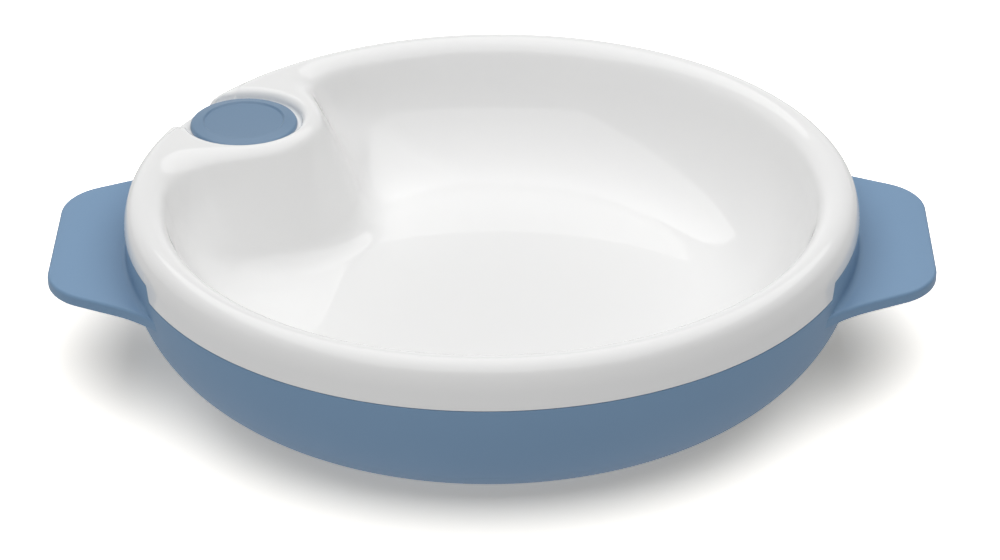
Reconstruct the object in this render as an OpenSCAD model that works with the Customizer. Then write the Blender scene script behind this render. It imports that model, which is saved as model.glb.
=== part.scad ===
// Hot water plate: a dish on a hollow bowl that is filled with hot water through a stoppered neck.
// Millimetres. The origin is on the table under the middle of the plate, +Z is up, handles on X.

/* [Overall] */
// Outside diameter of the bowl and of the plate's rim
plate_d = 200; // [180:1:240]

/* [Bowl] */
// Height of the bowl from its foot to the seam under the plate
bowl_h = 36.6; // [34.5:0.1:45]
// Radius of the round between the bowl's foot and its side
bowl_round = 34.5; // [24:0.5:34.5]
// Wall of the bowl
bowl_wall = 2.4; // [1.6:0.1:3]
// Radius of the raised middle of the underside
foot_inner_r = 48; // [30:1:52]
// How far the middle of the underside is raised
foot_rise = 1.2; // [0.5:0.1:2]
// Thickness of the bowl's floor over the raised middle
bowl_floor = 2.4; // [1.8:0.1:4]

/* [Handles] */
// How far each handle stands out of the bowl
handle_reach = 20; // [12:0.5:40]
// Half width of a handle at its outer edge, before the corners are rounded
handle_half_w = 27.5; // [20:0.5:34]
// Angle at which a handle's sides spread towards the bowl
handle_flare = 26; // [10:1:40]
// Radius of a handle's outer corners
handle_corner_r = 16; // [8:0.5:18]
// Radius of the hollow curve from a handle's side into the bowl
handle_root_r = 20; // [8:0.5:24]
// Thickness of a handle
handle_t = 3.4; // [2.4:0.1:5]
// Radius of a handle's upper and lower edges
handle_edge_r = 0.9; // [0.5:0.1:1.1]
// Depth of a handle's top below the seam
handle_drop = 4.1; // [3:0.1:10]

/* [Plate] */
// Wall of the plate
plate_t = 2.2; // [1.6:0.1:2.6]
// Height of the white rim from the seam to its crest
rim_h = 12.4; // [12.2:0.1:20]
// Radius of the rim's outer edge
rim_round = 5; // [3:0.1:7]
// Radius of the rim's inner edge, where it turns down into the dish
rim_edge_r = 3.2; // [2.8:0.1:4]
// Width of the rim from its outside to the top of the dish's wall
rim_w = 12; // [11:0.5:16]
// Depth of the dish below the crest
dish_depth = 32; // [28:0.5:36]
// Radius of the round between the dish's floor and its wall
dish_round = 32; // [20:0.5:34]
// Steepness of the dish's wall below the rim
dish_slope = 72; // [60:1:80]

/* [Filler bay] */
// Direction of the bay, from the right handle
bay_angle = 148.6; // [140:0.2:160]
// Steepness of the bay's wall in the dish
bay_slope = 80; // [70:1:84]
// Radius of the round at the foot of the bay's wall
bay_foot_r = 8; // [4:0.5:12]
// Width of the ridge between the stopper's recess and the bay's wall
ridge_w = 7.5; // [5:0.5:10]
// Radius of the hollow curves from the bay's wall into the dish's wall
bay_blend_r = 20; // [14:0.5:24]
// How far the hollow curves run into the rim at their ends
blend_lap = 0.6; // [0.4:0.1:1]
// Depth of the stopper's recess below the crest
recess_depth = 3.1; // [2.6:0.1:4]
// Radius at the foot of the recess's wall
recess_foot_r = 0.8; // [0.4:0.1:1.2]
// Width of the finger notch through the rim, at its floor
notch_w = 21; // [14:0.5:24]
// How far each side of the notch leans out from its floor to the crest
notch_lean = 2; // [0.5:0.1:4]
// Depth of the notch's floor below the recess
notch_drop = 1.2; // [0.8:0.1:1.6]
// Inside diameter of the filler neck
neck_d = 20; // [14:0.5:21]
// Wall of the filler neck
neck_wall = 1.4; // [1.2:0.1:2.2]
// Length of the filler neck below the recess
neck_l = 9; // [6:0.5:14]
// Room between the filler neck and the bowl's collar
neck_gap = 0.6; // [0.5:0.1:3]

/* [Stopper] */
// Diameter of the stopper's lip
lip_d = 30.2; // [26:0.2:34]
// Thickness of the lip
lip_t = 2; // [1.6:0.1:2.6]
// Radius of the lip's upper edge
lip_edge_r = 1.4; // [0.8:0.1:1.5]
// Room around the lip in its recess
lip_gap = 1.4; // [0.8:0.1:2.5]
// How far the lip overhangs the notch, for the finger
lip_overhang = 3.4; // [2:0.1:4]
// Diameter of the sunk middle of the lip
lip_panel_d = 22; // [16:0.5:24]
// Depth of the sunk middle
lip_panel_depth = 0.4; // [0.2:0.1:0.6]
// Thickness of the sunk middle, over the hollow plug
lip_panel_t = 1.2; // [1:0.1:1.5]
// Length of the plug below the lip
plug_l = 8; // [5:0.5:12]
// Wall of the hollow plug
plug_wall = 1.2; // [1:0.1:2.4]
// Height of each sealing rib along the plug
rib_l = 1.4; // [1:0.1:1.8]
// How far the sealing ribs stand out of the plug
rib_h = 0.4; // [0.2:0.1:0.6]
// Clearance of the ribs in the neck
plug_clearance = 0.05; // [0.02:0.01:0.1]

/* [Joint of bowl and plate] */
// Thickness of the collar that the plate's skirt goes over
collar_t = 3.4; // [3:0.1:4]
// Clearance between the collar and the skirt
collar_clearance = 0.2; // [0.1:0.05:0.3]
// Room above the collar, under the floor of the notch
collar_headroom = 0.7; // [0.4:0.1:1]
// Half angle of the upstand over each handle that locates the plate
land_half_angle = 25.2; // [15:0.1:26]
// Height of the upstand above the seam
land_h = 4.4; // [1:0.1:4.8]
// Thickness of the upstand
land_t = 1; // [0.8:0.05:1.2]
// How far the upstand's outer face stands back from the bowl's side
land_inset = 0.15; // [0.1:0.05:0.3]
// Clearance at the ends of the upstand, as an angle
land_clearance = 0.3; // [0.2:0.05:0.6]
// Radius of the snap bead round the collar
bead_r = 0.35; // [0.25:0.05:0.5]
// Clearance of the snap bead in the skirt's groove
bead_clearance = 0.15; // [0.1:0.05:0.2]

/* [Seal and foot ring] */
// Height of the rim seal
seal_h = 1.6; // [1.2:0.1:1.8]
// Depth of the seal's groove in the collar
seal_depth = 1.7; // [1.2:0.1:2.2]
// Lip of the collar above the seal's groove
seal_cover = 0.6; // [0.4:0.1:1]
// Clearance of the seal in its groove and against the skirt
seal_clearance = 0.05; // [0.02:0.01:0.1]
// Middle radius of the non-slip ring
foot_ring_r = 58; // [53:0.5:60]
// Width of the non-slip ring
foot_ring_w = 6; // [4:0.5:8]
// Depth of its groove in the foot
foot_ring_depth = 1.4; // [1:0.1:1.6]
// How far it stands out of the foot
foot_ring_proud = 0.6; // [0.4:0.1:1]
// Clearance of the ring's sides in its groove
foot_ring_clearance = 0.1; // [0.05:0.05:0.2]
// Radius of the ring's lower edges
foot_ring_edge_r = 0.4; // [0.2:0.1:0.4]

/* [Hidden] */
$fn = 96;
blue = "#7d9ab8";
white = "#f2f2f1";
clear_silicone = "#dfe3e4";
soft_grey = "#6d7f92";

// Steps in each arc of a section
arc_steps = 12;
// Small overlap of cutting shapes
cut = 1;

plate_r = plate_d / 2;
foot_z = foot_ring_proud;
seam_z = foot_z + bowl_h;
crest_z = seam_z + rim_h;
dish_z = crest_z - dish_depth;
recess_z = crest_z - recess_depth;
notch_z = recess_z - notch_drop;

// The bowl's side and the collar inside the plate's skirt
side_round = min(bowl_round, bowl_h);
round_z = foot_z + side_round;
floor_z = foot_z + foot_rise + bowl_floor;
skirt_r = plate_r - plate_t;
collar_r = skirt_r - collar_clearance;
collar_in_r = collar_r - collar_t;
collar_top_z = notch_z - plate_t - collar_headroom;
seal_top_z = collar_top_z - seal_cover;
seal_z = seal_top_z - seal_h;
bead_z = (seam_z + seal_z) / 2;
// Back of the upstands over the handles, which stand in a rebate of the skirt
land_r = plate_r - land_t;

// The bay, measured from the stopper's axis
lip_r = lip_d / 2;
neck_r = neck_d / 2;
bay_r = collar_in_r - neck_gap - neck_wall - neck_r;
recess_r = lip_r + lip_gap;
bay_wall_r = recess_r + ridge_w;
dish_edge_r = plate_r - rim_w;
bay_center = bay_r * [cos(bay_angle), sin(bay_angle)];

// The middle of each hollow curve beside the bay, from the laws of the triangle
blend_reach = dish_edge_r - bay_blend_r + blend_lap;
blend_to_bay = bay_wall_r + bay_blend_r;
blend_cos = (blend_reach ^ 2 + bay_r ^ 2 - blend_to_bay ^ 2) / (2 * blend_reach * bay_r);
blend_angle = acos(blend_cos);

// The handles
handle_tip = plate_r + handle_reach;
handle_z = seam_z - handle_drop - handle_t / 2;
// The handles' roots end inside the bowl's wall, this share of the way through it
root_share = 0.75;
handle_embed_r = plate_r - root_share * bowl_wall;
handle_edge_steps = 3;
handle_steps = 8;

// Steps in each curve of the bay's outline and of its wall
bay_steps = 10;
bay_wall_steps = 5;

function arc(center, r, from, to, steps = arc_steps) =
    [for (i = [0 : steps]) let (a = from + (to - from) * i / steps) center + r * [cos(a), sin(a)]];

// The shorter turn from one direction to another
function turn(from, to) = (to - from + 360 + 180) % 360 - 180;

// Section of a wall of the dish, from the floor up to the crest, as [distance into the dish, z].
// The wall's top edge is at distance 0. A shift moves the whole section into the plate's material.
function wall_section(slope, foot_r, shift, steps = arc_steps) =
    let (
        edge_z = crest_z - rim_edge_r * (1 - cos(slope)),
        foot_top_z = dish_z + foot_r * (1 - cos(slope)),
        run = (edge_z - foot_top_z) / tan(slope),
        foot_center = [run + foot_r * sin(slope), dish_z + foot_r],
        edge_center = [-rim_edge_r * sin(slope), crest_z - rim_edge_r]
    )
    concat(
        arc(foot_center, foot_r + shift, -90, -90 - slope, steps),
        arc(edge_center, rim_edge_r - shift, 90 - slope, 90, steps)
    );

module at_bay() {
    translate([bay_center.x, bay_center.y, 0]) rotate([0, 0, bay_angle]) children();
}

// Both handle sides of anything made round +X
module both_sides() {
    children();
    rotate([0, 0, 180]) children();
}

// Part of a ring of square section, centred on +X
module ring_sector(half_angle, r1, r2, z1, z2) {
    rotate([0, 0, -half_angle])
        rotate_extrude(angle = 2 * half_angle)
            translate([r1, z1]) square([r2 - r1, z2 - z1]);
}

module ring(r1, r2, z1, z2) {
    rotate_extrude() translate([r1, z1]) square([r2 - r1, z2 - z1]);
}

// Outline of half a handle from its tip to its root, drawn in by an inset
function handle_side(inset) =
    let (
        out = [sin(handle_flare), cos(handle_flare)],
        along = [out.y, -out.x],
        reach = out * [handle_tip, handle_half_w],
        corner_x = handle_tip - handle_corner_r,
        corner_y = (reach - handle_corner_r - out.x * corner_x) / out.y,
        root_reach = reach + handle_root_r,
        root_run = sqrt((plate_r + handle_root_r) ^ 2 - root_reach ^ 2),
        root_center = root_reach * out + root_run * along,
        root_angle = atan2(root_center.y, root_center.x)
    )
    concat(
        arc([corner_x, corner_y], handle_corner_r - inset, 0, 90 - handle_flare, handle_steps),
        arc(root_center, handle_root_r + inset, 270 - handle_flare, 180 + root_angle, handle_steps)
    );

// The whole outline of a handle, from root to root round its tip
function handle_front(inset) =
    let (side = handle_side(inset), n = len(side))
    concat([for (i = [n - 1 : -1 : 0]) [side[i].x, -side[i].y]], side);

// A solid made of level outlines. Each level is [z, front], where front is a path that turns once
// round the origin's side, and the back of the solid is the arc of radius back_r behind it.
module stack(levels, back_r) {
    half_n = len(levels[0][1]);
    n = 2 * half_n;
    points = [
        for (level = levels)
            for (p = concat(level[1], [for (q = level[1]) back_r * q / norm(q)]))
                [p.x, p.y, level[0]]
    ];
    // Front, back and the two ends of the outline
    pairs = concat(
        [for (i = [0 : half_n - 2]) [i, i + 1]],
        [for (i = [0 : half_n - 2]) [half_n + i + 1, half_n + i]],
        [[half_n - 1, n - 1], [half_n, 0]]
    );
    sides = [
        for (k = [0 : len(levels) - 2])
            for (e = pairs)
                [k * n + e[0], (k + 1) * n + e[0], (k + 1) * n + e[1], k * n + e[1]]
    ];
    bottom = [for (i = [0 : half_n - 2]) [i, i + 1, half_n + i + 1, half_n + i]];
    first = (len(levels) - 1) * n;
    top = [for (f = bottom) [first + f[3], first + f[2], first + f[1], first + f[0]]];
    polyhedron(points, concat(bottom, sides, top));
}

// A flat blade with rounded edges
module handle() {
    flat = handle_t / 2 - handle_edge_r;
    stack([
        for (side = [-1, 1])
            for (k = [0 : handle_edge_steps])
                let (
                    a = 90 * (side < 0 ? k - handle_edge_steps : k) / handle_edge_steps,
                    inset = handle_edge_r * (1 - cos(a))
                )
                [handle_z + side * flat + handle_edge_r * sin(a), handle_front(inset)]
    ], handle_embed_r);
}

// Section of the bowl: foot, rounded side, shoulder under the seam and collar
module bowl_section() {
    center = [plate_r - side_round, round_z];
    inner_r = side_round - bowl_wall;
    floor_angle = -asin((round_z - floor_z) / inner_r);
    gusset_z = seam_z - (plate_r - bowl_wall - collar_in_r) - bowl_wall / 2;
    polygon(concat(
        [[0, foot_z + foot_rise], [foot_inner_r, foot_z + foot_rise], [foot_inner_r, foot_z]],
        arc(center, side_round, -90, 0),
        [[plate_r, seam_z], [collar_r, seam_z], [collar_r, collar_top_z]],
        [[collar_in_r, collar_top_z], [collar_in_r, seam_z - bowl_wall / 2]],
        [for (p = arc(center, inner_r, 0, floor_angle)) if (p.y < gusset_z) p],
        [[0, floor_z]]
    ));
}

module base_bowl() {
    color(blue)
    difference() {
        union() {
            rotate_extrude() bowl_section();
            rotate_extrude() translate([collar_r, bead_z]) circle(r = bead_r);
            both_sides() {
                handle();
                ring_sector(land_half_angle, land_r, plate_r - land_inset, seam_z - cut, seam_z + land_h);
            }
        }
        ring(collar_r - seal_depth, skirt_r, seal_z, seal_top_z);
        ring(foot_ring_r - foot_ring_w / 2, foot_ring_r + foot_ring_w / 2, foot_z - cut, foot_z + foot_ring_depth);
    }
}

// The round block that the dish is sunk into, shifted inwards for its underside
module rim_block(shift) {
    low_z = dish_z - plate_t - cut - shift;
    low_r = skirt_r - (shift > 0 ? 0 : plate_t);
    skirt_z = shift > 0 ? low_z : seam_z;
    rotate_extrude()
        polygon(concat(
            [[0, low_z], [low_r, low_z], [low_r, skirt_z], [plate_r - shift, skirt_z]],
            arc([plate_r - rim_round, crest_z - rim_round], rim_round - shift, 0, 90),
            [[0, crest_z - shift]]
        ));
}

module dish_hollow(shift) {
    wall = wall_section(dish_slope, dish_round, shift);
    rotate_extrude()
        polygon(concat(
            [[0, dish_z - shift]],
            [for (p = wall) [dish_edge_r - p.x, p.y]],
            [[dish_edge_r - wall[len(wall) - 1].x, crest_z + cut], [0, crest_z + cut]]
        ));
}

// Outline of the bay in the dish, from rim to rim, for a wall that stands so far into the dish
function bay_front(into) =
    let (
        side = [
            for (side = [1, -1])
                let (
                    center = blend_reach * [cos(side * blend_angle), sin(side * blend_angle)],
                    to_bay = atan2(-center.y, bay_r - center.x),
                    from = side * blend_angle
                )
                arc(center, bay_blend_r - into, from, from + turn(from, to_bay), bay_steps)
        ],
        head_angle = 180 - atan2(blend_reach * sin(blend_angle), bay_r - blend_reach * cos(blend_angle)),
        head = arc([bay_r, 0], bay_wall_r + into, head_angle, 360 - head_angle, bay_steps)
    )
    concat(
        side[0],
        [for (i = [1 : bay_steps - 1]) head[i]],
        [for (i = [bay_steps : -1 : 0]) side[1][i]]
    );

// The bay's head and the hollow curves that lead from it into the rim
module bay(shift) {
    wall = wall_section(bay_slope, bay_foot_r, shift, bay_wall_steps);
    last = wall[len(wall) - 1];
    levels = concat(
        [[wall[0].x, dish_z - shift - cut]],
        wall,
        [[last.x, crest_z + 2 * cut]]
    );
    rotate([0, 0, bay_angle])
        stack([for (p = levels) [p.y, bay_front(p.x)]], dish_edge_r + rim_edge_r + cut);
}

// Hollow for the stopper's lip, and the notch that leads from it out through the rim
module recess(shift) {
    r = recess_r + shift;
    z = recess_z - shift;
    at_bay() {
        rotate_extrude()
            polygon([[0, z], [r - recess_foot_r, z], [r, z + recess_foot_r], [r, crest_z + cut], [0, crest_z + cut]]);
        half_w = notch_w / 2 + shift;
        floor_z = notch_z - shift;
        translate([lip_r - lip_overhang - shift, 0, 0])
            rotate([90, 0, 90])
                linear_extrude(plate_r)
                    polygon([
                        [-half_w, floor_z], [half_w, floor_z],
                        [half_w + notch_lean, crest_z + cut], [-half_w - notch_lean, crest_z + cut]
                    ]);
    }
}

// Everything under the plate's upper surface, or under its lower surface when shifted by its wall
module plate_form(shift) {
    difference() {
        rim_block(shift);
        difference() {
            dish_hollow(shift);
            bay(shift);
        }
        recess(shift);
    }
}

module inner_plate() {
    neck_z = recess_z - neck_l;
    color(white)
    difference() {
        union() {
            difference() {
                plate_form(0);
                plate_form(plate_t);
            }
            at_bay() translate([0, 0, neck_z]) cylinder(h = neck_l - plate_t / 2, r = neck_r + neck_wall);
        }
        at_bay() translate([0, 0, neck_z - cut]) cylinder(h = neck_l + 2 * cut, r = neck_r);
        rotate_extrude() translate([collar_r, bead_z]) circle(r = bead_r + bead_clearance);
        both_sides()
            ring_sector(
                land_half_angle + land_clearance, land_r - collar_clearance, plate_r + cut,
                seam_z - cut, seam_z + land_h
            );
    }
}

module stopper() {
    top_z = recess_z + lip_t;
    panel_z = top_z - lip_panel_depth;
    plug_r = neck_r - plug_clearance;
    body_r = plug_r - rib_h;
    end_z = recess_z - plug_l;
    hollow_r = body_r - plug_wall;
    rib_pitch = (plug_l - 2 * rib_l) / 2;
    color(blue)
    at_bay()
        rotate_extrude()
            polygon(concat(
                [[0, panel_z], [lip_panel_d / 2 - lip_panel_depth, panel_z], [lip_panel_d / 2, top_z]],
                arc([lip_r - lip_edge_r, top_z - lip_edge_r], lip_edge_r, 90, 0),
                [[lip_r, recess_z], [body_r, recess_z]],
                [
                    for (i = [0 : 1])
                        let (z = recess_z - rib_pitch * (i + 0.5) - rib_l * i)
                        each [[body_r, z], [plug_r, z - rib_h], [plug_r, z - rib_l + rib_h], [body_r, z - rib_l]]
                ],
                [[body_r, end_z + rib_h], [body_r - rib_h, end_z], [hollow_r, end_z]],
                [[hollow_r, panel_z - lip_panel_t], [0, panel_z - lip_panel_t]]
            ));
}

module rim_seal() {
    color(clear_silicone)
        ring(collar_r - seal_depth + seal_clearance, skirt_r - seal_clearance, seal_z, seal_top_z);
}

module non_slip_ring() {
    half_w = foot_ring_w / 2 - foot_ring_clearance;
    e = foot_ring_edge_r;
    color(soft_grey)
        rotate_extrude()
            translate([foot_ring_r, 0])
                polygon([
                    [-half_w + e, 0], [half_w - e, 0], [half_w, e],
                    [half_w, foot_z + foot_ring_depth], [-half_w, foot_z + foot_ring_depth], [-half_w, e]
                ]);
}

base_bowl();
inner_plate();
stopper();
rim_seal();
non_slip_ring();
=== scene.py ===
"""Looks of a child's hot water plate: a glossy white dish on a matt blue bowl, with a soft blue stopper.

Shapes are worked out in millimetres, in the part's own frame, and become metres when a mesh is made.
"""

import math

import bpy
import numpy as np
from mathutils import Matrix, Vector
from mathutils.geometry import delaunay_2d_cdt


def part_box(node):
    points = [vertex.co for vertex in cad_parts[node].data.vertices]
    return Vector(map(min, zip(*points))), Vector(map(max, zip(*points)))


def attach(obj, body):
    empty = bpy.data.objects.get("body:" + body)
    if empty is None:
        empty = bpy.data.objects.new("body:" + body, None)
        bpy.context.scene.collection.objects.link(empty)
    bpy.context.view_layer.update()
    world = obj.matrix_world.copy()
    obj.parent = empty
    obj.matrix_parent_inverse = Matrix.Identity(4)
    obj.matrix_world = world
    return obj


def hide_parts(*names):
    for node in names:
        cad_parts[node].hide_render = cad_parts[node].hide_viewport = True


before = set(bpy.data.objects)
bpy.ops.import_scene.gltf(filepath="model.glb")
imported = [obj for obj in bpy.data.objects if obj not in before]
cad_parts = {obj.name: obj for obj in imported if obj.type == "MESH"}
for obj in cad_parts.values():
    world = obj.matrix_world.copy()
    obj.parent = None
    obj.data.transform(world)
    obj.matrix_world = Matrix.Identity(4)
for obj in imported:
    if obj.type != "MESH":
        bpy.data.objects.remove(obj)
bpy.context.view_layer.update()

MM = 0.001


def box_mm(node):
    """Lowest and highest corner of a solid, in millimetres."""
    low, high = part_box(node)
    return low / MM, high / MM


# Sizes that the solids give
_, plate_high = box_mm("inner_plate")
bowl_low, bowl_high = box_mm("base_bowl")
stopper_low, stopper_high = box_mm("stopper")
seal_low, seal_high = box_mm("rim_seal")
ring_low, ring_high = box_mm("non_slip_ring")

PLATE_R = plate_high.x
CREST_Z = plate_high.z
FOOT_Z = bowl_low.z
COLLAR_TOP_Z = bowl_high.z
HANDLE_TIP = bowl_high.x
BAY_X = (stopper_low.x + stopper_high.x) / 2
BAY_Y = (stopper_low.y + stopper_high.y) / 2
LIP_R = (stopper_high.x - stopper_low.x) / 2
LIP_TOP_Z = stopper_high.z
PLUG_END_Z = stopper_low.z

# Plate. Slopes and turns are in degrees
PLATE_T = 2.2
RIM_H = 12.4
RIM_ROUND_R = 5.0
RIM_ROUND_TURN = 66.0
RIM_SIDE_H = 7.4
DISH_DEPTH = 32.0
DISH_ROUND = 32.0
DISH_SLOPE = 72.0
DISH_EDGE_R = 6.0
SKIRT_EDGE_R = 0.3
HEM_BEVEL = 0.1

# Filler bay
BAY_WALL_R = 22.6
BAY_SLOPE = 68.0
BAY_FOOT_R = 10.0
BAY_EDGE_R = 4.6
BAY_BLEND = 24.0
BAY_SHARE_W = 16.0
RECESS_R = 16.5
RECESS_DEPTH = 3.1
RECESS_SLOPE = 84.0
RECESS_EDGE_R = 2.4
RECESS_FOOT_R = 0.8
NOTCH_HALF_W = 9.6
NOTCH_SHIFT = 2.4
NOTCH_DROP = 1.2
NOTCH_SLOPE = 72.0
NOTCH_EDGE_R = 4.0
NOTCH_FOOT_R = 1.0
NOTCH_SOFT = 1.6
NOTCH_SOFT_RUN = 1.0
NOTCH_START = 93.7
NOTCH_END_FALL = 4.0
NECK_R = 10.0
NECK_WALL = 1.4
NECK_L = 9.0
NECK_EDGE_R = 0.4
NECK_BLEND_START = 2.0
NECK_BLEND_END = 8.0

# Bowl, with an upstand over each handle that the plate's skirt steps up over
BOWL_ROUND = 34.5
BOWL_WALL = 2.4
BOWL_FLOOR = 2.4
BOWL_BEND_R = 0.5
FOOT_INNER_R = 48.0
FOOT_RISE = 1.2
FOOT_HOLLOW_R = 0.6
FOOT_EDGE_R = 0.5
FOOT_GROOVE_DEPTH = 1.4
FOOT_GROOVE_GAP = 0.1
FOOT_GROOVE_EDGE_R = 0.25
FOOT_GROOVE_CORNER_R = 0.2
FOOT_RING_W = 5.8
FOOT_RING_EDGE_R = 0.4
COLLAR_R = 97.6
COLLAR_T = 3.4
COLLAR_CORNER_R = 0.1
COLLAR_OUTER_EDGE_R = 0.2
COLLAR_INNER_EDGE_R = 0.4
SEAL_GROOVE_DEPTH = 1.7
SEAL_GAP = 0.05
SEAL_EDGE_R = 0.2
UPSTAND_HALF_ANGLE = 25.2
UPSTAND_H = 4.4
UPSTAND_T = 1.0
UPSTAND_GAP = 0.2
UPSTAND_EASE = 0.65
SEAM_GAP = 0.08
SEAM_STEP = 0.04

# Handles
HANDLE_HALF_W = 27.5
HANDLE_FLARE = 26.0
HANDLE_CORNER_R = 16.0
HANDLE_ROOT_R = 42.0
HANDLE_ROOT_DEPTH = 1.2
HANDLE_T = 3.4
HANDLE_DROP = 4.1
HANDLE_EDGE_R = 0.9
HANDLE_FILLET_R = 1.5
HANDLE_UNDER_R = 3.5

# Stopper
LIP_FALL = 0.7
LIP_EDGE_R = 1.1
LIP_UNDER_R = 0.3
PANEL_R = 11.0
PANEL_DEPTH = 0.5
PANEL_STEP_W = 0.5
PANEL_EDGE_R = 0.3
PANEL_T = 1.2
PLUG_R = 9.95
PLUG_WALL = 1.2
PLUG_HOLLOW_R = 0.5
PLUG_INNER_EDGE_R = 0.3
PLUG_OUTER_EDGE_R = 0.4
RIB_COUNT = 2
RIB_H = 0.4
RIB_L = 1.4
RIB_FOOT_R = 0.1
RIB_EDGE_R = 0.2

# Spacing of the plate's mesh at its finest. Turns are in degrees, rows are (end, step) pairs
UPPER_STEP = 1
UNDER_STEP = 3
COLUMN_TURN = 0.5
BAY_COLUMN_TURN = 0.25
BAY_COLUMN_REACH_RADIANS = 0.9
UPSTAND_COLUMN_TURN = 0.1
DISH_ROWS = ((0.2, 0.3), (14, 0.55), (38, 1.2))
FLOOR_START = 40
FLOOR_ROWS = (64, 4)
FLOOR_THINNING = 4
CROWN_START = 8
CROWN_TURN = 5
SIDE_TURN = 3
SIDE_END = 86
RIM_COLUMNS = 720
HEAD_START = 0.4
HEAD_REACH = 26
HEAD_MARGIN = 0.35
HEAD_CLEARANCE = 0.3
HEAD_STEP = 0.7
HEAD_COLUMNS = 240
RECESS_FLOOR_STEP = 1.5
RECESS_WALL_STEP = 0.16
NOTCH_MARGIN = 1
NOTCH_CLEARANCE = 0.2
NOTCH_WALL_STEP = 0.35
NOTCH_FLOOR_STEP = 0.8
NOTCH_OUT_STEP = 0.3
NOTCH_LIP_W = 1.6
NOTCH_LIP_STEP = 0.07
NOTCH_LIP_GAP = 0.05
BORE_COLUMNS = 160

# Fineness of the turned pieces and the handles
STOPPER_COLUMNS = 240
STOPPER_FINENESS = 1.6
RING_COLUMNS = 360
HANDLE_STEPS = 14
ARC_STEPS = 2
ARC_STEPS_GAIN = 2.5
SHARP_ANGLE = 38

# Tolerances
HALVINGS = 40
MERGE_D = 1e-4
TOUCH = 1e-3
NEARLY = 0.01
LEAST_AREA = 1e-7
LEAST_SOFTNESS = 1e-6
ON_AXIS = 1e-9

FLOOR_Z = CREST_Z - DISH_DEPTH
SEAM_Z = CREST_Z - RIM_H
RECESS_Z = CREST_Z - RECESS_DEPTH
NOTCH_Z = RECESS_Z - NOTCH_DROP
ROUND_SIN = math.sin(math.radians(RIM_ROUND_TURN))
ROUND_COS = math.cos(math.radians(RIM_ROUND_TURN))
RIM_SIDE_R = (RIM_SIDE_H - RIM_ROUND_R * (1 - ROUND_COS)) / ROUND_COS
RIM_W = RIM_ROUND_R * ROUND_SIN + RIM_SIDE_R * (1 - ROUND_SIN)
CREST_R = PLATE_R - RIM_W
DISH_EDGE = CREST_R - DISH_EDGE_R * math.sin(math.radians(DISH_SLOPE))
BAY_ANGLE = math.atan2(BAY_Y, BAY_X)
ROUND_Z = FOOT_Z + BOWL_ROUND
FOOT_RING_IN = ring_high.x - FOOT_RING_W


def arc_height(radius, offset):
    """Height of a circle's upper half over its middle, at an offset to the side."""
    return np.sqrt(np.maximum(radius**2 - offset**2, 0))


class Wall:
    """Section of a moulded wall: a flat top, a rounded edge, a straight slope and a hollow foot.

    Distances run from the top of the slope into the hollow that the wall stands round.
    """

    def __init__(self, floor, slope, edge_r, foot_r):
        slope = math.radians(slope)
        self.floor, self.edge_r, self.foot_r = floor, edge_r, foot_r
        self.edge_start = -edge_r * math.sin(slope)
        self.slope_top = CREST_Z - edge_r * (1 - math.cos(slope))
        self.fall = math.tan(slope)
        self.slope_end = (self.slope_top - floor - foot_r * (1 - math.cos(slope))) / self.fall
        self.foot_end = self.slope_end + foot_r * math.sin(slope)

    def height(self, distance):
        edge = CREST_Z - self.edge_r + arc_height(self.edge_r, distance - self.edge_start)
        slope = self.slope_top - distance * self.fall
        foot = self.floor + self.foot_r - arc_height(self.foot_r, self.foot_end - distance)
        ends = [self.edge_start, 0, self.slope_end, self.foot_end]
        heights = [np.full_like(distance, CREST_Z), edge, slope, foot]
        return np.select([distance <= end for end in ends], heights, self.floor)


DISH_WALL = Wall(FLOOR_Z, DISH_SLOPE, DISH_EDGE_R, DISH_ROUND)
BAY_WALL = Wall(FLOOR_Z, BAY_SLOPE, BAY_EDGE_R, BAY_FOOT_R)
RECESS_WALL = Wall(RECESS_Z, RECESS_SLOPE, RECESS_EDGE_R, RECESS_FOOT_R)
NOTCH_WALL = Wall(NOTCH_Z, NOTCH_SLOPE, NOTCH_EDGE_R, NOTCH_FOOT_R)

WALL_CREST = min(DISH_WALL.edge_start, BAY_WALL.edge_start)
RECESS_CREST_R = RECESS_R - RECESS_WALL.edge_start
NOTCH_REACH = NOTCH_HALF_W - NOTCH_WALL.edge_start + NOTCH_MARGIN
NOTCH_LOW_R = NOTCH_START - NOTCH_MARGIN


def smoothstep(low, high, value):
    t = np.clip((value - low) / (high - low), 0, 1)
    return t * t * (3 - 2 * t)


def soft_minimum(a, b, width):
    """The lesser of two values, with a curve where they come within a width of each other."""
    near = np.maximum(1 - np.abs(a - b) / width, 0)
    return np.minimum(a, b) - near**2 * width / 4


def from_bay(x, y):
    """Distance from the stopper's axis."""
    return np.hypot(x - BAY_X, y - BAY_Y)


def along_bay(x, y):
    """Distance out along the bay's direction, and across it."""
    out = x * math.cos(BAY_ANGLE) + y * math.sin(BAY_ANGLE)
    across = y * math.cos(BAY_ANGLE) - x * math.sin(BAY_ANGLE)
    return out, across


def dish_distance(x, y):
    """Distance into the dish from its outline, and the share of the bay's wall in the wall there.

    The rim's circle and the bay's circle run into each other in a hollow curve.
    """
    from_rim = DISH_EDGE - np.hypot(x, y)
    from_head = from_bay(x, y) - BAY_WALL_R
    distance = soft_minimum(from_rim, from_head, BAY_BLEND)
    return distance, smoothstep(-BAY_SHARE_W, BAY_SHARE_W, from_rim - from_head)


def rim_side(x, y):
    """Height of the rim's outer side: a round over the crest, then a slow curve down to the skirt."""
    out = np.clip(np.hypot(x, y) - CREST_R, 0, RIM_W)
    crown = CREST_Z - RIM_ROUND_R + arc_height(RIM_ROUND_R, out)
    side = CREST_Z - RIM_SIDE_H + arc_height(RIM_SIDE_R, out - RIM_W + RIM_SIDE_R)
    return np.where(out < RIM_ROUND_R * ROUND_SIN, crown, side)


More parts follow.
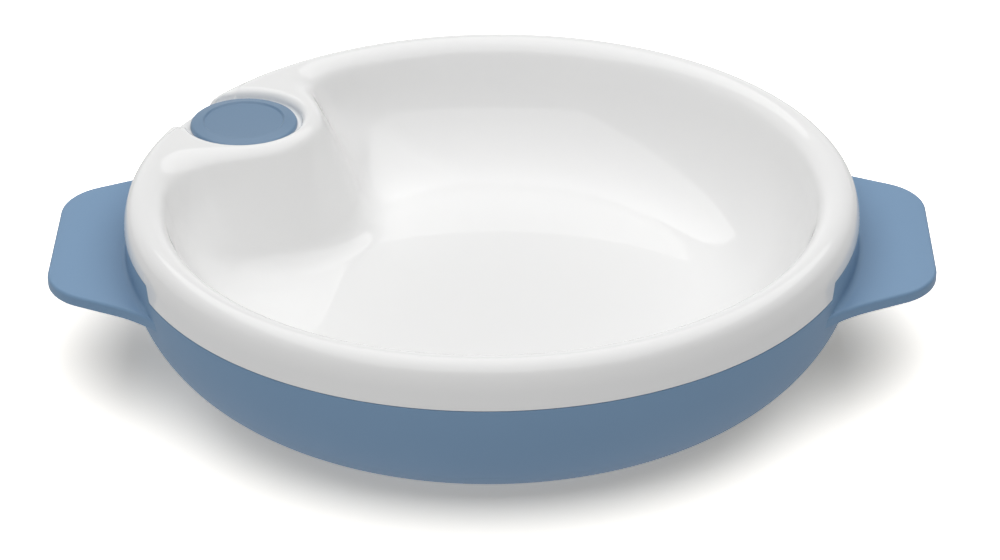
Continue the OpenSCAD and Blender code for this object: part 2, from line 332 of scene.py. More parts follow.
def plate_height(x, y):
    """Height of the plate's upper surface."""
    distance, share = dish_distance(x, y)
    z = DISH_WALL.height(distance) * (1 - share) + BAY_WALL.height(distance) * share
    z = np.minimum(z, rim_side(x, y))
    z = np.minimum(z, RECESS_WALL.height(RECESS_R - from_bay(x, y)))
    out, across = along_bay(x, y)
    end_foot = NOTCH_START + NOTCH_DROP / NOTCH_END_FALL
    notch_end = NOTCH_Z + np.maximum(end_foot - out, 0) * NOTCH_END_FALL
    into_notch = NOTCH_HALF_W - np.abs(across - NOTCH_SHIFT)
    notch = np.maximum(NOTCH_WALL.height(into_notch), notch_end)
    softness = NOTCH_SOFT * smoothstep(NOTCH_START, NOTCH_START + NOTCH_SOFT_RUN, out)
    return soft_minimum(z, notch, np.maximum(softness, LEAST_SOFTNESS))


def plate_normal(x, y, step=0.01):
    """Upward normals of the plate's upper surface."""
    slope_x = (plate_height(x + step, y) - plate_height(x - step, y)) / (2 * step)
    slope_y = (plate_height(x, y + step) - plate_height(x, y - step)) / (2 * step)
    normal = np.stack([-slope_x, -slope_y, np.ones_like(x)], axis=-1)
    # The rim's side stands upright where it meets the skirt
    edge = np.hypot(x, y) > PLATE_R - 2 * step
    normal[edge] = np.stack([x, y, np.zeros_like(x)], axis=-1)[edge]
    return normal / np.linalg.norm(normal, axis=-1, keepdims=True)


def spaced(start, *stretches, scale=1):
    """Values from a start over stretches that follow each other, given as (end, step) pairs."""
    values = [start]
    for end, step in stretches:
        count = max(1, round(abs(end - values[-1]) / (step * scale)))
        values += list(np.linspace(values[-1], end, count + 1)[1:])
    return np.array(values)


def evenly(count):
    """Angles in equal steps round a full turn."""
    return np.linspace(0, 2 * math.pi, count, endpoint=False)


def quarter_turn(steps):
    """Cosine and sine of each angle from 0 to 90 degrees in equal steps."""
    turns = np.radians(np.linspace(0, 90, steps + 1))
    return [(math.cos(turn), math.sin(turn)) for turn in turns]


def round_columns():
    """Angles round the plate, close together where the seam steps up over the handles."""
    half = UPSTAND_HALF_ANGLE
    ends = np.radians([half, 180 - half, 180 + half, 360 - half])
    near = np.radians(np.arange(-2 * UPSTAND_EASE, 2 * UPSTAND_EASE, UPSTAND_COLUMN_TURN))
    all_round = np.arange(0, 2 * math.pi, math.radians(COLUMN_TURN))
    return np.unique(np.concatenate([all_round, (ends[:, None] + near).ravel()]).round(4))


def on_circles(radii, angles, center=(0.0, 0.0)):
    """Points in plan on circles round a centre."""
    radii = np.asarray(radii, float)[:, None]
    x = center[0] + radii * np.cos(angles)
    y = center[1] + radii * np.sin(angles)
    return np.stack([x.ravel(), y.ravel()], axis=-1)


def contour_points(distances, angles):
    """Points along each direction from the middle, where the dish's outline is a distance away."""
    angle, distance = np.meshgrid(angles, distances)
    low = np.zeros_like(angle)
    high = np.full_like(angle, CREST_R + 1)
    for _ in range(HALVINGS):
        middle = (low + high) / 2
        inside = dish_distance(middle * np.cos(angle), middle * np.sin(angle))[0] > distance
        low = np.where(inside, middle, low)
        high = np.where(inside, high, middle)
    return np.stack([(low * np.cos(angle)).ravel(), (low * np.sin(angle)).ravel()], axis=-1)


def dish_plan(step):
    """Points over the dish: close together along its wall, wider apart over its floor."""
    turn = 2 * math.pi
    reach = BAY_COLUMN_REACH_RADIANS
    columns = np.arange(0, turn, math.radians(COLUMN_TURN) * step)
    near_bay = np.arange(-reach, reach, math.radians(BAY_COLUMN_TURN) * step) + BAY_ANGLE
    columns = np.unique(np.concatenate([columns, near_bay % turn]).round(5))
    wall = contour_points(spaced(WALL_CREST, *DISH_ROWS, scale=step), columns)
    floor_columns = columns[:: round(FLOOR_THINNING / step) or 1]
    floor = contour_points(spaced(FLOOR_START, FLOOR_ROWS, scale=step), floor_columns)
    return np.concatenate([wall, floor, np.zeros((1, 2))])


def rim_plan(step):
    """Points round the rim, from its crest down its outer side."""
    crown_turns = spaced(CROWN_START, (RIM_ROUND_TURN, CROWN_TURN), scale=step)
    side_turns = spaced(RIM_ROUND_TURN, (SIDE_END, SIDE_TURN), scale=step)[1:]
    crown_r = CREST_R + RIM_ROUND_R * np.sin(np.radians(crown_turns))
    side_r = PLATE_R - RIM_SIDE_R * (1 - np.sin(np.radians(side_turns)))
    radii = np.concatenate([[CREST_R], crown_r, side_r])
    return on_circles(radii, evenly(round(RIM_COLUMNS / step)))


def head_plan(step, bore_r):
    """Points over the bay's flat head, from the neck's bore out to the dish and the rim."""
    rows = [
        (RECESS_R - RECESS_WALL.foot_end, RECESS_FLOOR_STEP),
        (RECESS_CREST_R, RECESS_WALL_STEP),
        (RECESS_CREST_R + HEAD_REACH, HEAD_STEP),
    ]
    radii = spaced(bore_r + HEAD_START, *rows, scale=step)
    head = on_circles(radii, evenly(round(HEAD_COLUMNS / step)), (BAY_X, BAY_Y))
    out_of_dish = dish_distance(*head.T)[0] < WALL_CREST - HEAD_MARGIN
    return head[out_of_dish & (np.hypot(*head.T) < CREST_R)]


def notch_plan(step):
    """Points over the finger notch, laid along the rim's circles."""
    foot = NOTCH_WALL.foot_end - NOTCH_HALF_W
    across = spaced(-NOTCH_REACH, (foot, NOTCH_WALL_STEP), (0, NOTCH_FLOOR_STEP), scale=step)
    across = np.concatenate([across, -across[:-1]]) + NOTCH_SHIFT
    rows = [(PLATE_R - NOTCH_LIP_W, NOTCH_OUT_STEP), (PLATE_R - NOTCH_LIP_GAP, NOTCH_LIP_STEP)]
    out_r, across = np.meshgrid(spaced(NOTCH_LOW_R, *rows, scale=step), across)
    out_r, angle = out_r.ravel(), BAY_ANGLE + across.ravel() / PLATE_R
    return np.stack([out_r * np.cos(angle), out_r * np.sin(angle)], axis=-1)


def over_notch(points):
    """Which points lie in the stretch of rim that the notch's own points cover."""
    out, across = along_bay(*points.T)
    beside = np.abs(across - NOTCH_SHIFT) < NOTCH_REACH + NOTCH_CLEARANCE
    return beside & (np.hypot(*points.T) > NOTCH_LOW_R - NOTCH_CLEARANCE) & (out > 0)


def plate_plan(step, bore_r):
    """Points of the plate seen from above, close together where it curves. A step of 1 is the finest."""
    rim = rim_plan(step)
    rim = rim[~over_notch(rim) & (from_bay(*rim.T) >= RECESS_CREST_R + HEAD_CLEARANCE)]
    head = head_plan(step, bore_r)
    head = head[~over_notch(head)]
    edge = on_circles([PLATE_R], round_columns())
    bore = on_circles([bore_r], evenly(BORE_COLUMNS), (BAY_X, BAY_Y))
    return np.concatenate([dish_plan(step), rim, head, notch_plan(step), edge, bore])


def triangulated(plan, bore_r):
    """The plan's points and triangles, with the neck's bore left open."""
    points = [Vector(p) for p in plan]
    found, _, faces, *_ = delaunay_2d_cdt(points, [], [], 0, MERGE_D)
    found = np.array(found)
    faces = np.array(faces)
    middle = found[faces].mean(axis=1)
    in_bore = from_bay(*middle.T) < bore_r * math.cos(math.pi / BORE_COLUMNS) - TOUCH
    a, b, c = found[faces[:, 0]], found[faces[:, 1]], found[faces[:, 2]]
    area = (b[:, 0] - a[:, 0]) * (c[:, 1] - a[:, 1]) - (b[:, 1] - a[:, 1]) * (c[:, 0] - a[:, 0])
    faces[area < 0] = faces[area < 0][:, ::-1]
    keep = ~in_bore & (np.abs(area) > LEAST_AREA)
    return found, faces[keep]


def upstand_share(angle):
    """Share of the upstand's height at an angle: the seam steps up beside each handle."""
    off = np.abs((np.degrees(angle) + 90) % 180 - 90)
    return 1 - smoothstep(UPSTAND_HALF_ANGLE - UPSTAND_EASE, UPSTAND_HALF_ANGLE + UPSTAND_EASE, off)


def strips(rows):
    """Quads between rows of vertex numbers, each row being a closed ring."""
    quads = []
    for low, high in zip(rows, rows[1:]):
        for i in range(len(low)):
            j = (i + 1) % len(low)
            quads.append((low[i], low[j], high[j], high[i]))
    return quads


def make_object(name, points, faces, normals=None):
    """A smooth object. Without normals of its own, its sharp edges are found by their angle."""
    mesh = bpy.data.meshes.new(name)
    mesh.from_pydata((np.asarray(points) * MM).tolist(), [], [tuple(map(int, f)) for f in faces])
    mesh.validate()
    mesh.shade_smooth()
    if normals is None:
        mesh.set_sharp_from_angle(angle=math.radians(SHARP_ANGLE))
    else:
        mesh.normals_split_custom_set_from_vertices(np.asarray(normals).tolist())
    obj = bpy.data.objects.new(name, mesh)
    bpy.context.scene.collection.objects.link(obj)
    return obj


def make_plate():
    """The white plate: its upper surface, its skirt, its underside and the filler neck."""
    points, normals, faces = [], [], []

    def add(new_points, new_normals):
        start = sum(len(p) for p in points)
        points.append(new_points)
        normals.append(new_normals)
        return start + np.arange(len(new_points))

    rings = []
    for step, under in ((UPPER_STEP, False), (UNDER_STEP, True)):
        bore_r = NECK_R + (NECK_WALL if under else 0) + NECK_EDGE_R
        plan, triangles = triangulated(plate_plan(step, bore_r), bore_r)
        x, y = plan.T
        normal = plate_normal(x, y)
        surface = np.stack([x, y, plate_height(x, y)], axis=-1)
        if under:
            near = smoothstep(RECESS_R + NECK_BLEND_END, RECESS_R + NECK_BLEND_START, from_bay(x, y))
            thickness = PLATE_T + (NECK_WALL - PLATE_T) * near
            surface = surface - normal * thickness[:, None]
            normal, triangles = -normal, triangles[:, ::-1]
        numbers = add(surface, normal)
        faces.extend(map(tuple, numbers[triangles]))
        edge = np.nonzero(np.hypot(x, y) > PLATE_R - TOUCH)[0]
        edge = edge[np.argsort(np.arctan2(y[edge], x[edge]))]
        bore = np.nonzero(from_bay(x, y) < bore_r + TOUCH)[0]
        bore = bore[np.argsort(np.arctan2(y[bore] - BAY_Y, x[bore] - BAY_X))]
        rings.append((numbers[edge], numbers[bore]))

    (edge, bore), (edge_under, bore_under) = rings
    upper = np.concatenate(points)
    down = np.array([0.0, 0.0, -1.0])

    def sweep(first, last, center, section):
        """Rows between two rings. The section gives each row's (radius, height, out, down)."""
        angle = np.arctan2(upper[first, 1] - center[1], upper[first, 0] - center[0])
        outward = np.stack([np.cos(angle), np.sin(angle), np.zeros_like(angle)], axis=-1)
        rows = [first]
        for radius, z, out_share, down_share in section(angle):
            radius, z = np.broadcast_to(radius, angle.shape), np.broadcast_to(z, angle.shape)
            place = outward * radius[:, None] - down * z[:, None] + [center[0], center[1], 0]
            rows.append(add(place, outward * out_share + down * down_share))
        faces.extend(tuple(reversed(q)) for q in strips(rows + [last]))

    def skirt(angle):
        low = SEAM_Z + SEAM_GAP / 2
        hem = low + UPSTAND_H * upstand_share(angle)
        low = low - SEAM_STEP
        bevel = np.minimum(HEM_BEVEL, (hem - low) / 3)
        rebate_r, inner_r = PLATE_R - UPSTAND_T - UPSTAND_GAP, PLATE_R - PLATE_T
        start = hem + SKIRT_EDGE_R
        rows = []
        for share in (0.75, 0.5, 0.25):
            rows.append((PLATE_R, start + (upper[edge, 2] - start) * share, 1, 0))
        for cos, sin in quarter_turn(4):
            rows.append((PLATE_R - SKIRT_EDGE_R * (1 - cos), hem + SKIRT_EDGE_R * (1 - sin), cos, sin))
        return rows + [
            (rebate_r + bevel, hem, 0, 1),
            (rebate_r, hem - bevel, 1, 0),
            (rebate_r, low + bevel, 1, 0),
            (rebate_r - bevel, low, 0, 1),
            (inner_r + HEM_BEVEL, low, 0, 1),
            (inner_r, low + HEM_BEVEL, -1, 0),
        ]

    def neck(_angle):
        low, outer, r = RECESS_Z - NECK_L, NECK_R + NECK_WALL, NECK_EDGE_R
        turns = quarter_turn(3)
        rows = []
        for cos, sin in turns[1:]:
            rows.append((NECK_R + r * (1 - sin), RECESS_Z - r * (1 - cos), -sin, -cos))
        for cos, sin in turns:
            rows.append((NECK_R + r * (1 - cos), low + r * (1 - sin), -cos, sin))
        for cos, sin in reversed(turns):
            rows.append((outer - r * (1 - cos), low + r * (1 - sin), cos, sin))
        return rows + [(outer, RECESS_Z - NECK_WALL - r, 1, 0)]

    sweep(edge, edge_under, (0.0, 0.0), skirt)
    sweep(bore[::-1], bore_under[::-1], (BAY_X, BAY_Y), neck)
    return make_object("plate_shell", np.concatenate(points), faces, np.concatenate(normals))


def rounded(corners, fineness=1.0):
    """Outline through corners given as (r, z, radius), with each corner rounded by its radius."""
    outline = []
    count = len(corners)
    for i, (r, z, radius) in enumerate(corners):
        corner = np.array([r, z])
        if radius == 0:
            outline.append(corner)
            continue
        before = np.array(corners[i - 1][:2]) - corner
        after = np.array(corners[(i + 1) % count][:2]) - corner
        before, after = before / np.linalg.norm(before), after / np.linalg.norm(after)
        half = math.acos(np.clip(before @ after, -1, 1)) / 2
        center = corner + (before + after) / np.linalg.norm(before + after) * radius / math.sin(half)
        start = corner + before * radius / math.tan(half) - center
        end = corner + after * radius / math.tan(half) - center
        sweep = math.pi - 2 * half
        per_radian = ARC_STEPS + ARC_STEPS_GAIN * math.sqrt(radius)
        steps = max(2, round(fineness * sweep * per_radian))
        for t in np.linspace(0, 1, steps + 1):
            weights = math.sin((1 - t) * sweep), math.sin(t * sweep)
            outline.append(center + (start * weights[0] + end * weights[1]) / math.sin(sweep))
    return np.array(outline)


def turned(outline, angles, center=(0.0, 0.0), lift=None):
    """A closed outline turned round an upright axis. A lift raises points by angle and place."""
    columns = len(angles)
    points = []
    for r, z in outline:
        height = np.full(columns, z)
        if lift:
            height = height + lift(angles, r, z)
        x = center[0] + r * np.cos(angles)
        y = center[1] + r * np.sin(angles)
        points.append(np.stack([x, y, height], axis=-1))
    rows = [np.arange(columns) + columns * i for i in range(len(outline))]
    on_axis = [r < ON_AXIS for r, _ in outline]
    faces = []
    for i in range(len(rows)):
        j = (i + 1) % len(rows)
        if on_axis[i] and on_axis[j]:
            continue
        if on_axis[i]:
            faces += [(rows[i][0], rows[j][(k + 1) % columns], rows[j][k]) for k in range(columns)]
        elif on_axis[j]:
            faces += [(rows[i][k], rows[i][(k + 1) % columns], rows[j][0]) for k in range(columns)]
        else:
            faces += strips([rows[i], rows[j]])
    return np.concatenate(points), faces


def joined(parts):
    """Several (points, faces) pairs as one."""
    points, faces, start = [], [], 0
    for part_points, part_faces in parts:
        points.append(np.asarray(part_points))
        faces += [tuple(i + start for i in f) for f in part_faces]
        start += len(part_points)
    return np.concatenate(points), faces


def bowl_side_r(z):
    """Radius of the bowl's outside at a height."""
    return PLATE_R - BOWL_ROUND + np.sqrt(BOWL_ROUND**2 - np.maximum(ROUND_Z - z, 0) ** 2)


def bowl_body():
    """The bowl without its handles, from the foot up the outside and down the inside."""
    floor_z = FOOT_Z + FOOT_RISE + BOWL_FLOOR
    collar_in = COLLAR_R - COLLAR_T
    groove_r = COLLAR_R - SEAL_GROOVE_DEPTH
    ring_in = FOOT_RING_IN - FOOT_GROOVE_GAP
    ring_out = ring_high.x + FOOT_GROOVE_GAP
    groove_z = FOOT_Z + FOOT_GROOVE_DEPTH
    top = SEAM_Z - SEAM_GAP / 2
    shoulder = top - SEAM_STEP
    upstand_in = PLATE_R - UPSTAND_T
    inner_r = PLATE_R - BOWL_WALL
    outline = rounded([
        (0, FOOT_Z + FOOT_RISE, 0),
        (FOOT_INNER_R, FOOT_Z + FOOT_RISE, FOOT_HOLLOW_R),
        (FOOT_INNER_R, FOOT_Z, FOOT_EDGE_R),
        (ring_in, FOOT_Z, FOOT_GROOVE_EDGE_R),
        (ring_in, groove_z, FOOT_GROOVE_CORNER_R),
        (ring_out, groove_z, FOOT_GROOVE_CORNER_R),
        (ring_out, FOOT_Z, FOOT_GROOVE_EDGE_R),
        (PLATE_R, FOOT_Z, BOWL_ROUND),
        (PLATE_R, top, SKIRT_EDGE_R),
        (upstand_in, top, 0),
        (upstand_in, shoulder, 0),
        (COLLAR_R, shoulder, COLLAR_CORNER_R),
        (COLLAR_R, seal_low.z, COLLAR_CORNER_R),
        (groove_r, seal_low.z, COLLAR_CORNER_R),
        (groove_r, seal_high.z, COLLAR_CORNER_R),
        (COLLAR_R, seal_high.z, COLLAR_CORNER_R),
        (COLLAR_R, COLLAR_TOP_Z, COLLAR_OUTER_EDGE_R),
        (collar_in, COLLAR_TOP_Z, COLLAR_INNER_EDGE_R),
        (collar_in, SEAM_Z - BOWL_WALL / 2, BOWL_BEND_R),
        (inner_r, SEAM_Z - 2 * BOWL_WALL, BOWL_BEND_R),
        (inner_r, floor_z, BOWL_ROUND - 2 * BOWL_WALL),
        (0, floor_z, 0),
    ])

    def lift(angles, r, z):
        on_top = r > upstand_in - NEARLY and top - SKIRT_EDGE_R - NEARLY < z
        in_corner = r < upstand_in + NEARLY and z < top - SEAM_STEP / 2
        return UPSTAND_H * upstand_share(angles) * (on_top and not in_corner)

    return turned(outline, round_columns(), lift=lift)


def handle_outline(inset):
    """Outline of the right handle in plan, from its front root round its tip to its back root."""
    flare = math.radians(HANDLE_FLARE)
    out = np.array([math.sin(flare), math.cos(flare)])
    along = np.array([out[1], -out[0]])
    reach = out @ [HANDLE_TIP, HANDLE_HALF_W]
    corner_x = HANDLE_TIP - HANDLE_CORNER_R
    corner = np.array([corner_x, (reach - HANDLE_CORNER_R - out[0] * corner_x) / out[1]])
    root_reach = reach + HANDLE_ROOT_R
    root_from_middle = PLATE_R - HANDLE_ROOT_DEPTH + HANDLE_ROOT_R
    root = root_reach * out + along * math.sqrt(root_from_middle**2 - root_reach**2)
    root_turn = math.atan2(root[1], root[0])

    def arc(center, radius, start, end):
        a = np.linspace(start, end, HANDLE_STEPS + 1)
        return center + radius * np.stack([np.cos(a), np.sin(a)], axis=-1)

    tip_x = HANDLE_TIP - inset
    tip = np.linspace([tip_x, 0], [tip_x, corner[1]], HANDLE_STEPS)[:-1]
    bend = arc(corner, HANDLE_CORNER_R - inset, 0, math.pi / 2 - flare)
    hollow = arc(root, HANDLE_ROOT_R + inset, 1.5 * math.pi - flare, math.pi + root_turn)
    side = np.linspace(bend[-1], hollow[0], HANDLE_STEPS)[1:-1]
    half = np.concatenate([tip, bend, side, hollow])
    return np.concatenate([half[:0:-1] * [1, -1], half])


def handle_blade():
    """A handle: a flat blade with rounded edges and fillets where it leaves the bowl."""
    top_z = SEAM_Z - HANDLE_DROP
    low_z = top_z - HANDLE_T
    inner = handle_outline(HANDLE_EDGE_R)
    radius = np.hypot(*inner.T)
    direction = inner / radius[:, None]

    def face_rows(level, rise, fillet_r):
        """Rows over a flat face from the fillet on the bowl out to the rounded edge."""
        wall = bowl_side_r(level + rise * fillet_r)
        fillet = np.clip(radius - wall, 0.0, fillet_r)
        made = [(direction * (wall - BOWL_WALL / 2), level + rise * fillet)]
        for cos, sin in quarter_turn(6):
            r = np.minimum(wall + fillet * (1 - cos), radius)
            made.append((direction * r[:, None], level + rise * fillet * (1 - sin)))
        start = np.minimum(wall + fillet, radius)
        for share in (0.25, 0.5, 0.75):
            r = start + (radius - start) * share
            made.append((direction * r[:, None], level))
        return made

    plans = face_rows(low_z, -1, HANDLE_UNDER_R)
    edge = quarter_turn(5)
    for cos, sin in reversed(edge):
        plans.append((handle_outline(HANDLE_EDGE_R * (1 - cos)), low_z + HANDLE_EDGE_R * (1 - sin)))
    for cos, sin in edge:
        plans.append((handle_outline(HANDLE_EDGE_R * (1 - cos)), top_z - HANDLE_EDGE_R * (1 - sin)))
    plans += reversed(face_rows(top_z, 1, HANDLE_FILLET_R))
    rows = [np.column_stack([plan, np.broadcast_to(z, len(plan))]) for plan, z in plans]
    count = len(rows[0])
    faces = []
    numbers = [np.arange(count) + count * i for i in range(len(rows))]
    for low, high in zip(numbers, numbers[1:] + numbers[:1]):
        faces += [(low[i], low[i + 1], high[i + 1], high[i]) for i in range(count - 1)]
    faces.append(tuple(n[0] for n in numbers))
    faces.append(tuple(n[-1] for n in reversed(numbers)))
    return np.concatenate(rows), faces


def make_bowl():
    """The blue bowl with a handle on each side."""
    points, faces = handle_blade()
    other = points * [-1, -1, 1]
    return make_object("bowl_with_handles", *joined([bowl_body(), (points, faces), (other, faces)]))


def make_stopper():
    """The stopper: a broad lip with a sunk panel, over a hollow plug with sealing ribs."""
    under = RECESS_Z
    panel_z = LIP_TOP_Z - PANEL_DEPTH
    body_r = PLUG_R - RIB_H
    hollow_r = body_r - PLUG_WALL
    pitch = (RECESS_Z - PLUG_END_Z - RIB_COUNT * RIB_L) / RIB_COUNT
    ribs = []
    for i in range(RIB_COUNT):
        z = under - pitch * (i + 0.5) - RIB_L * i
        ribs += [
            (body_r, z, RIB_FOOT_R),
            (PLUG_R, z - RIB_H, RIB_EDGE_R),
            (PLUG_R, z - RIB_L + RIB_H, RIB_EDGE_R),
            (body_r, z - RIB_L, RIB_FOOT_R),
        ]
    outline = rounded([
        (0, panel_z - PANEL_T, 0),
        (hollow_r, panel_z - PANEL_T, PLUG_HOLLOW_R),
        (hollow_r, PLUG_END_Z, PLUG_INNER_EDGE_R),
        (body_r, PLUG_END_Z, PLUG_OUTER_EDGE_R),
        *reversed(ribs),
        (body_r, under, RIB_FOOT_R),
        (LIP_R, under, LIP_UNDER_R),
        (LIP_R, LIP_TOP_Z - LIP_FALL, LIP_EDGE_R),
        (PANEL_R + PANEL_STEP_W, LIP_TOP_Z, PANEL_EDGE_R),
        (PANEL_R, panel_z, PANEL_EDGE_R),
        (0, panel_z, 0),
    ], STOPPER_FINENESS)
    return make_object("stopper_plug", *turned(outline, evenly(STOPPER_COLUMNS), (BAY_X, BAY_Y)))


def make_ring(name, inner_r, low, high, edge_r):
    """A ring round the plate's axis, between the heights and out to the radius of a solid's box."""
    corners = [(inner_r, low.z), (high.x, low.z), (high.x, high.z), (inner_r, high.z)]
    outline = rounded([(r, z, edge_r) for r, z in corners])
    return make_object(name, *turned(outline, evenly(RING_COLUMNS)))


plate = make_plate()
bowl = make_bowl()
stopper = make_stopper()
seal_in = COLLAR_R - SEAL_GROOVE_DEPTH + SEAL_GAP
seal = make_ring("chamber_seal", seal_in, seal_low, seal_high, SEAL_EDGE_R)
foot_ring = make_ring("foot_ring", FOOT_RING_IN, ring_low, ring_high, FOOT_RING_EDGE_R)


class Shade:
    """A shader socket in sums: arithmetic on it adds Math nodes to its material."""

    def __init__(self, tree, socket):
        self.tree = tree
        self.socket = socket

    def maths(self, operation, *values):
        node = self.tree.nodes.new("ShaderNodeMath")
        node.operation = operation
        for socket, value in zip(node.inputs, values):
            plug(self.tree, socket, value)
        return Shade(self.tree, node.outputs[0])

    def __add__(self, other):
        return self.maths("ADD", self, other)

    __radd__ = __add__

    def __mul__(self, other):
        return self.maths("MULTIPLY", self, other)

    __rmul__ = __mul__

    def __sub__(self, other):
        return self.maths("SUBTRACT", self, other)

    def __rsub__(self, other):
        return self.maths("SUBTRACT", other, self)


def plug(tree, socket, value):
    """Link a shade to a socket, or set the socket to a constant."""
    if isinstance(value, Shade):
        tree.links.new(value.socket, socket)
    else:
        socket.default_value = value


def add_node(tree, kind, settings=None, out=0, **inputs):
    """A node of any type: its settings are set first, then its sockets by name with _ for spaces."""
    node = tree.nodes.new(kind)
    for name, value in (settings or {}).items():
        setattr(node, name, value)
    for name, value in inputs.items():
        plug(tree, node.inputs[name.replace("_", " ")], value)
    return Shade(tree, node.outputs[out])


# Places of the colour sockets on a Mix node
MIX_SHARE, MIX_FIRST, MIX_SECOND, MIX_RESULT = 0, 6, 7, 2


def blend(tree, share, first, second):
    """A colour between two colours."""
    color = add_node(tree, "ShaderNodeMix", {"data_type": "RGBA"}, out=MIX_RESULT)
    for index, value in ((MIX_SHARE, share), (MIX_FIRST, first), (MIX_SECOND, second)):
        plug(tree, color.socket.node.inputs[index], value)
    return color


def srgb(red, green, blue):
    """A colour as the eye sees it, 0 to 255, as the linear colour that shaders take."""
    def linear(value):
        value /= 255
        return value / 12.92 if value <= 0.04045 else ((value + 0.055) / 1.055) ** 2.4

    return (linear(red), linear(green), linear(blue), 1.0)


# Plastic: noise scales are per metre; the roughness has a base, a share of grain and one of drift
PLASTIC_IOR = 1.49
DRIFT_SCALE = 18.0
WAVE_SCALE = 45.0
ROUGH_BASE, ROUGH_GRAIN, ROUGH_DRIFT = 0.7, 0.35, 0.25


def moulded_plastic(name, tone, deep, roughness, grain_mm, grain_depth, wave_depth, gloss=0.5):
    """Moulded plastic: slow colour drift, the mould's fine grain, and long faint waves from cooling."""
    material = bpy.data.materials.new(name)
    material.use_nodes = True
    tree = material.node_tree
    shader = tree.nodes["Principled BSDF"]
    place = add_node(tree, "ShaderNodeTexCoord", out="Object")
    drift = add_node(tree, "ShaderNodeTexNoise", Vector=place, Scale=DRIFT_SCALE, Detail=3.0)
    grain = add_node(tree, "ShaderNodeTexNoise", Vector=place, Scale=1 / (grain_mm * MM), Detail=2.0)
    wave = add_node(tree, "ShaderNodeTexNoise", Vector=place, Scale=WAVE_SCALE, Detail=1.0)
    sheen = roughness * (ROUGH_BASE + grain * ROUGH_GRAIN + drift * ROUGH_DRIFT)
    relief = grain * grain_depth + wave * wave_depth
    bump = add_node(tree, "ShaderNodeBump", Height=relief, Strength=1.0, Distance=MM)
    plug(tree, shader.inputs["Base Color"], blend(tree, drift, tone, deep))
    plug(tree, shader.inputs["Roughness"], sheen)
    plug(tree, shader.inputs["Normal"], bump)
    shader.inputs["IOR"].default_value = PLASTIC_IOR
    shader.inputs["Specular IOR Level"].default_value = gloss
    return material


def dress(obj, material, body, slot, *nodes):
    """Give a piece its material and its body, and hide the solids that it stands for. The slot is not
    used.
    """
    obj.data.materials.clear()
    obj.data.materials.append(material)
    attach(obj, body)
    if nodes:
        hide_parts(*nodes)


blue = moulded_plastic(
    "blue_matt_plastic", srgb(126, 158, 190), srgb(122, 154, 186),
    roughness=0.42, grain_mm=0.35, grain_depth=0.006, wave_depth=0.01, gloss=0.32,
)
white = moulded_plastic(
    "white_gloss_plastic", srgb(248, 248, 247), srgb(246, 246, 246),
    roughness=0.03, grain_mm=0.8, grain_depth=0.0001, wave_depth=0.002, gloss=0.32,
)
soft_blue = moulded_plastic(
    "blue_soft_stopper", srgb(115, 143, 171), srgb(111, 139, 167),
    roughness=0.38, grain_mm=0.3, grain_depth=0.006, wave_depth=0.004,
)
silicone = moulded_plastic(
    "clear_silicone", srgb(223, 227, 228), srgb(214, 219, 221),
    roughness=0.4, grain_mm=0.4, grain_depth=0.002, wave_depth=0.004,
)
rubber = moulded_plastic(
    "grey_foot_rubber", srgb(109, 127, 146), srgb(100, 118, 137),
    roughness=0.7, grain_mm=0.3, grain_depth=0.01, wave_depth=0.004,
)

dress(plate, white, "plate", "white_plastic", "inner_plate")
dress(bowl, blue, "plate", "blue_plastic", "base_bowl")
dress(stopper, soft_blue, "stopper", "blue_stopper", "stopper")
dress(seal, silicone, "plate", "clear_silicone", "rim_seal")
dress(foot_ring, rubber, "plate", "soft_grey", "non_slip_ring")


def make_camera():
    """The camera of the photograph: a long lens, looking down on the plate from the front."""
    elevation, swing, roll = math.radians(27.69), math.radians(0.85), math.radians(0.67)
    distance = 1089.7
    target_drop = 5
    target_px = (492.62, 200.97)
    focal_px = 4000.0
    width_px, height_px = 1000, 560
    sensor_mm = 36
    data = bpy.data.cameras.new("camera")
    data.sensor_width = sensor_mm
    data.lens = sensor_mm * focal_px / width_px
    data.clip_start, data.clip_end = 0.01, 50
    camera = bpy.data.objects.new("camera", data)
    bpy.context.scene.collection.objects.link(camera)
    target = Vector((0, 0, CREST_Z - target_drop))
    level = math.cos(elevation)
    back = Vector((math.sin(swing) * level, -math.cos(swing) * level, math.sin(elevation)))
    camera.location = (target + back * distance) * MM
    look = (-back).to_track_quat("-Z", "Y").to_matrix().to_4x4()
    yaw = math.atan((width_px / 2 - target_px[0]) / focal_px)
    pitch = math.atan((height_px / 2 - target_px[1]) / focal_px)
    aim = Matrix.Rotation(-yaw, 4, "Y") @ Matrix.Rotation(-pitch, 4, "X")
    camera.rotation_euler = (look @ aim @ Matrix.Rotation(-roll, 4, "Z")).to_euler()
    bpy.context.scene.camera = camera


# The floor is a light table: it lights the object a little from below, and shows white to the camera.
# Near the object the camera sees a painted warm shadow tone, against the blue that the bowl throws into
# the shadow, which fades to white by distance from the middle, in metres.
WHITE = (1, 1, 1, 1)
FLOOR_BOUNCE = (0.42, 0.42, 0.42, 1)
FLOOR_SHOWN = (1.8, 1.83, 1.87, 1)
FLOOR_GLOW = (0.32, 0.32, 0.32, 1)
PAINTED_SHADOW_TONE = (0.195, 0.118, 0.0, 1)
FADE_START = 0.13
FADE_END = 0.4


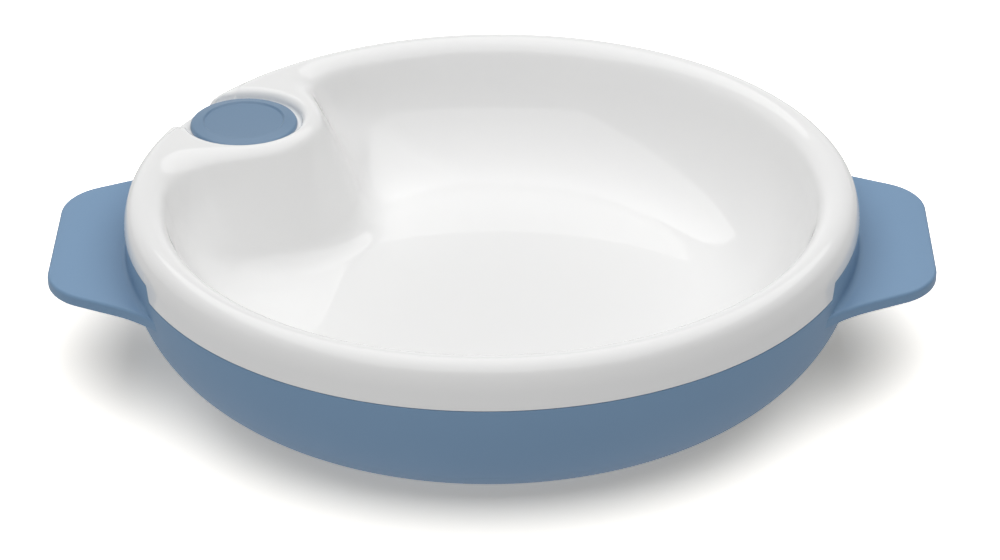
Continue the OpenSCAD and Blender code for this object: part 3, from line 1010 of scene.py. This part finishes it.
def make_floor():
    """A pale floor that shows white to the camera and keeps the object's shadow, with a painted warm
    shadow tone near the object.
    """
    size = 6.0
    corners = [(-size, -size, 0), (size, -size, 0), (size, size, 0), (-size, size, 0)]
    mesh = bpy.data.meshes.new("floor")
    mesh.from_pydata(corners, [], [(0, 1, 2, 3)])
    floor = bpy.data.objects.new("floor", mesh)
    bpy.context.scene.collection.objects.link(floor)
    material = bpy.data.materials.new("floor")
    material.use_nodes = True
    tree = material.node_tree
    tree.nodes.clear()
    camera = add_node(tree, "ShaderNodeLightPath", out="Is Camera Ray")
    place = add_node(tree, "ShaderNodeNewGeometry", out="Position")
    reach = add_node(tree, "ShaderNodeVectorMath", {"operation": "LENGTH"}, out="Value", Vector=place)
    painted_shade_fade = add_node(
        tree, "ShaderNodeMapRange", {"interpolation_type": "SMOOTHSTEP"},
        Value=reach, From_Min=FADE_START, From_Max=FADE_END,
    )
    paper = blend(tree, camera, FLOOR_BOUNCE, FLOOR_SHOWN)
    # Camera rays see the painted shadow tone near the object, fading to white further out; other rays
    # see the floor's glow
    light = blend(tree, camera, FLOOR_GLOW, blend(tree, painted_shade_fade, PAINTED_SHADOW_TONE, WHITE))
    diffuse = add_node(tree, "ShaderNodeBsdfDiffuse", Color=paper)
    glow = add_node(tree, "ShaderNodeEmission", Color=light, Strength=1.0)
    total = tree.nodes.new("ShaderNodeAddShader")
    plug(tree, total.inputs[0], diffuse)
    plug(tree, total.inputs[1], glow)
    output = tree.nodes.new("ShaderNodeOutputMaterial")
    tree.links.new(total.outputs[0], output.inputs["Surface"])
    mesh.materials.append(material)


def make_softbox():
    """The broad overhead softbox, whose outline is mirrored in the dish."""
    left, right, front, back, height = -0.62, 0.74, -0.80, 1.06, 0.80
    radiance = 1.58
    data = bpy.data.lights.new("softbox", "AREA")
    data.shape = "RECTANGLE"
    data.size, data.size_y = right - left, back - front
    data.energy = radiance * math.pi * data.size * data.size_y
    lamp = bpy.data.objects.new("softbox", data)
    bpy.context.scene.collection.objects.link(lamp)
    lamp.location = ((left + right) / 2, (front + back) / 2, height)


def make_world():
    """White all round for the camera, low fills from left and front, and a pale back in reflections."""
    fill_low, fill_high = 0.1, 0.7
    left_fill, front_fill = 0.75, 0.45
    world = bpy.data.worlds.new("studio")
    bpy.context.scene.world = world
    world.use_nodes = True
    tree = world.node_tree
    tree.nodes.clear()
    camera = add_node(tree, "ShaderNodeLightPath", out="Is Camera Ray")
    glossy = add_node(tree, "ShaderNodeLightPath", out="Is Glossy Ray")
    through = add_node(tree, "ShaderNodeLightPath", out="Is Transmission Ray")
    direction = add_node(tree, "ShaderNodeTexCoord", out="Generated")
    parts = add_node(tree, "ShaderNodeSeparateXYZ", Vector=direction).socket.node.outputs
    across, deep, height = [Shade(tree, part) for part in parts]
    low = add_node(
        tree, "ShaderNodeMapRange", {"interpolation_type": "SMOOTHSTEP"},
        Value=height, From_Min=fill_low, From_Max=fill_high, To_Min=1.0, To_Max=0.0,
    )
    left = across.maths("MAXIMUM", 0 - across, 0)
    front = deep.maths("MAXIMUM", 0 - deep, 0)
    back = deep.maths("MAXIMUM", deep, 0)
    fill = low * (left * left * left_fill + front * front * front_fill)
    mirrored = glossy.maths("MAXIMUM", glossy, through)
    strength = fill + camera * (1 - fill) + mirrored * low * back * back
    shade = add_node(tree, "ShaderNodeBackground", Color=WHITE, Strength=strength)
    output = tree.nodes.new("ShaderNodeOutputWorld")
    plug(tree, output.inputs["Surface"], shade)


make_camera()
make_floor()
make_softbox()
make_world()
bpy.context.scene.view_settings.view_transform = "Standard"
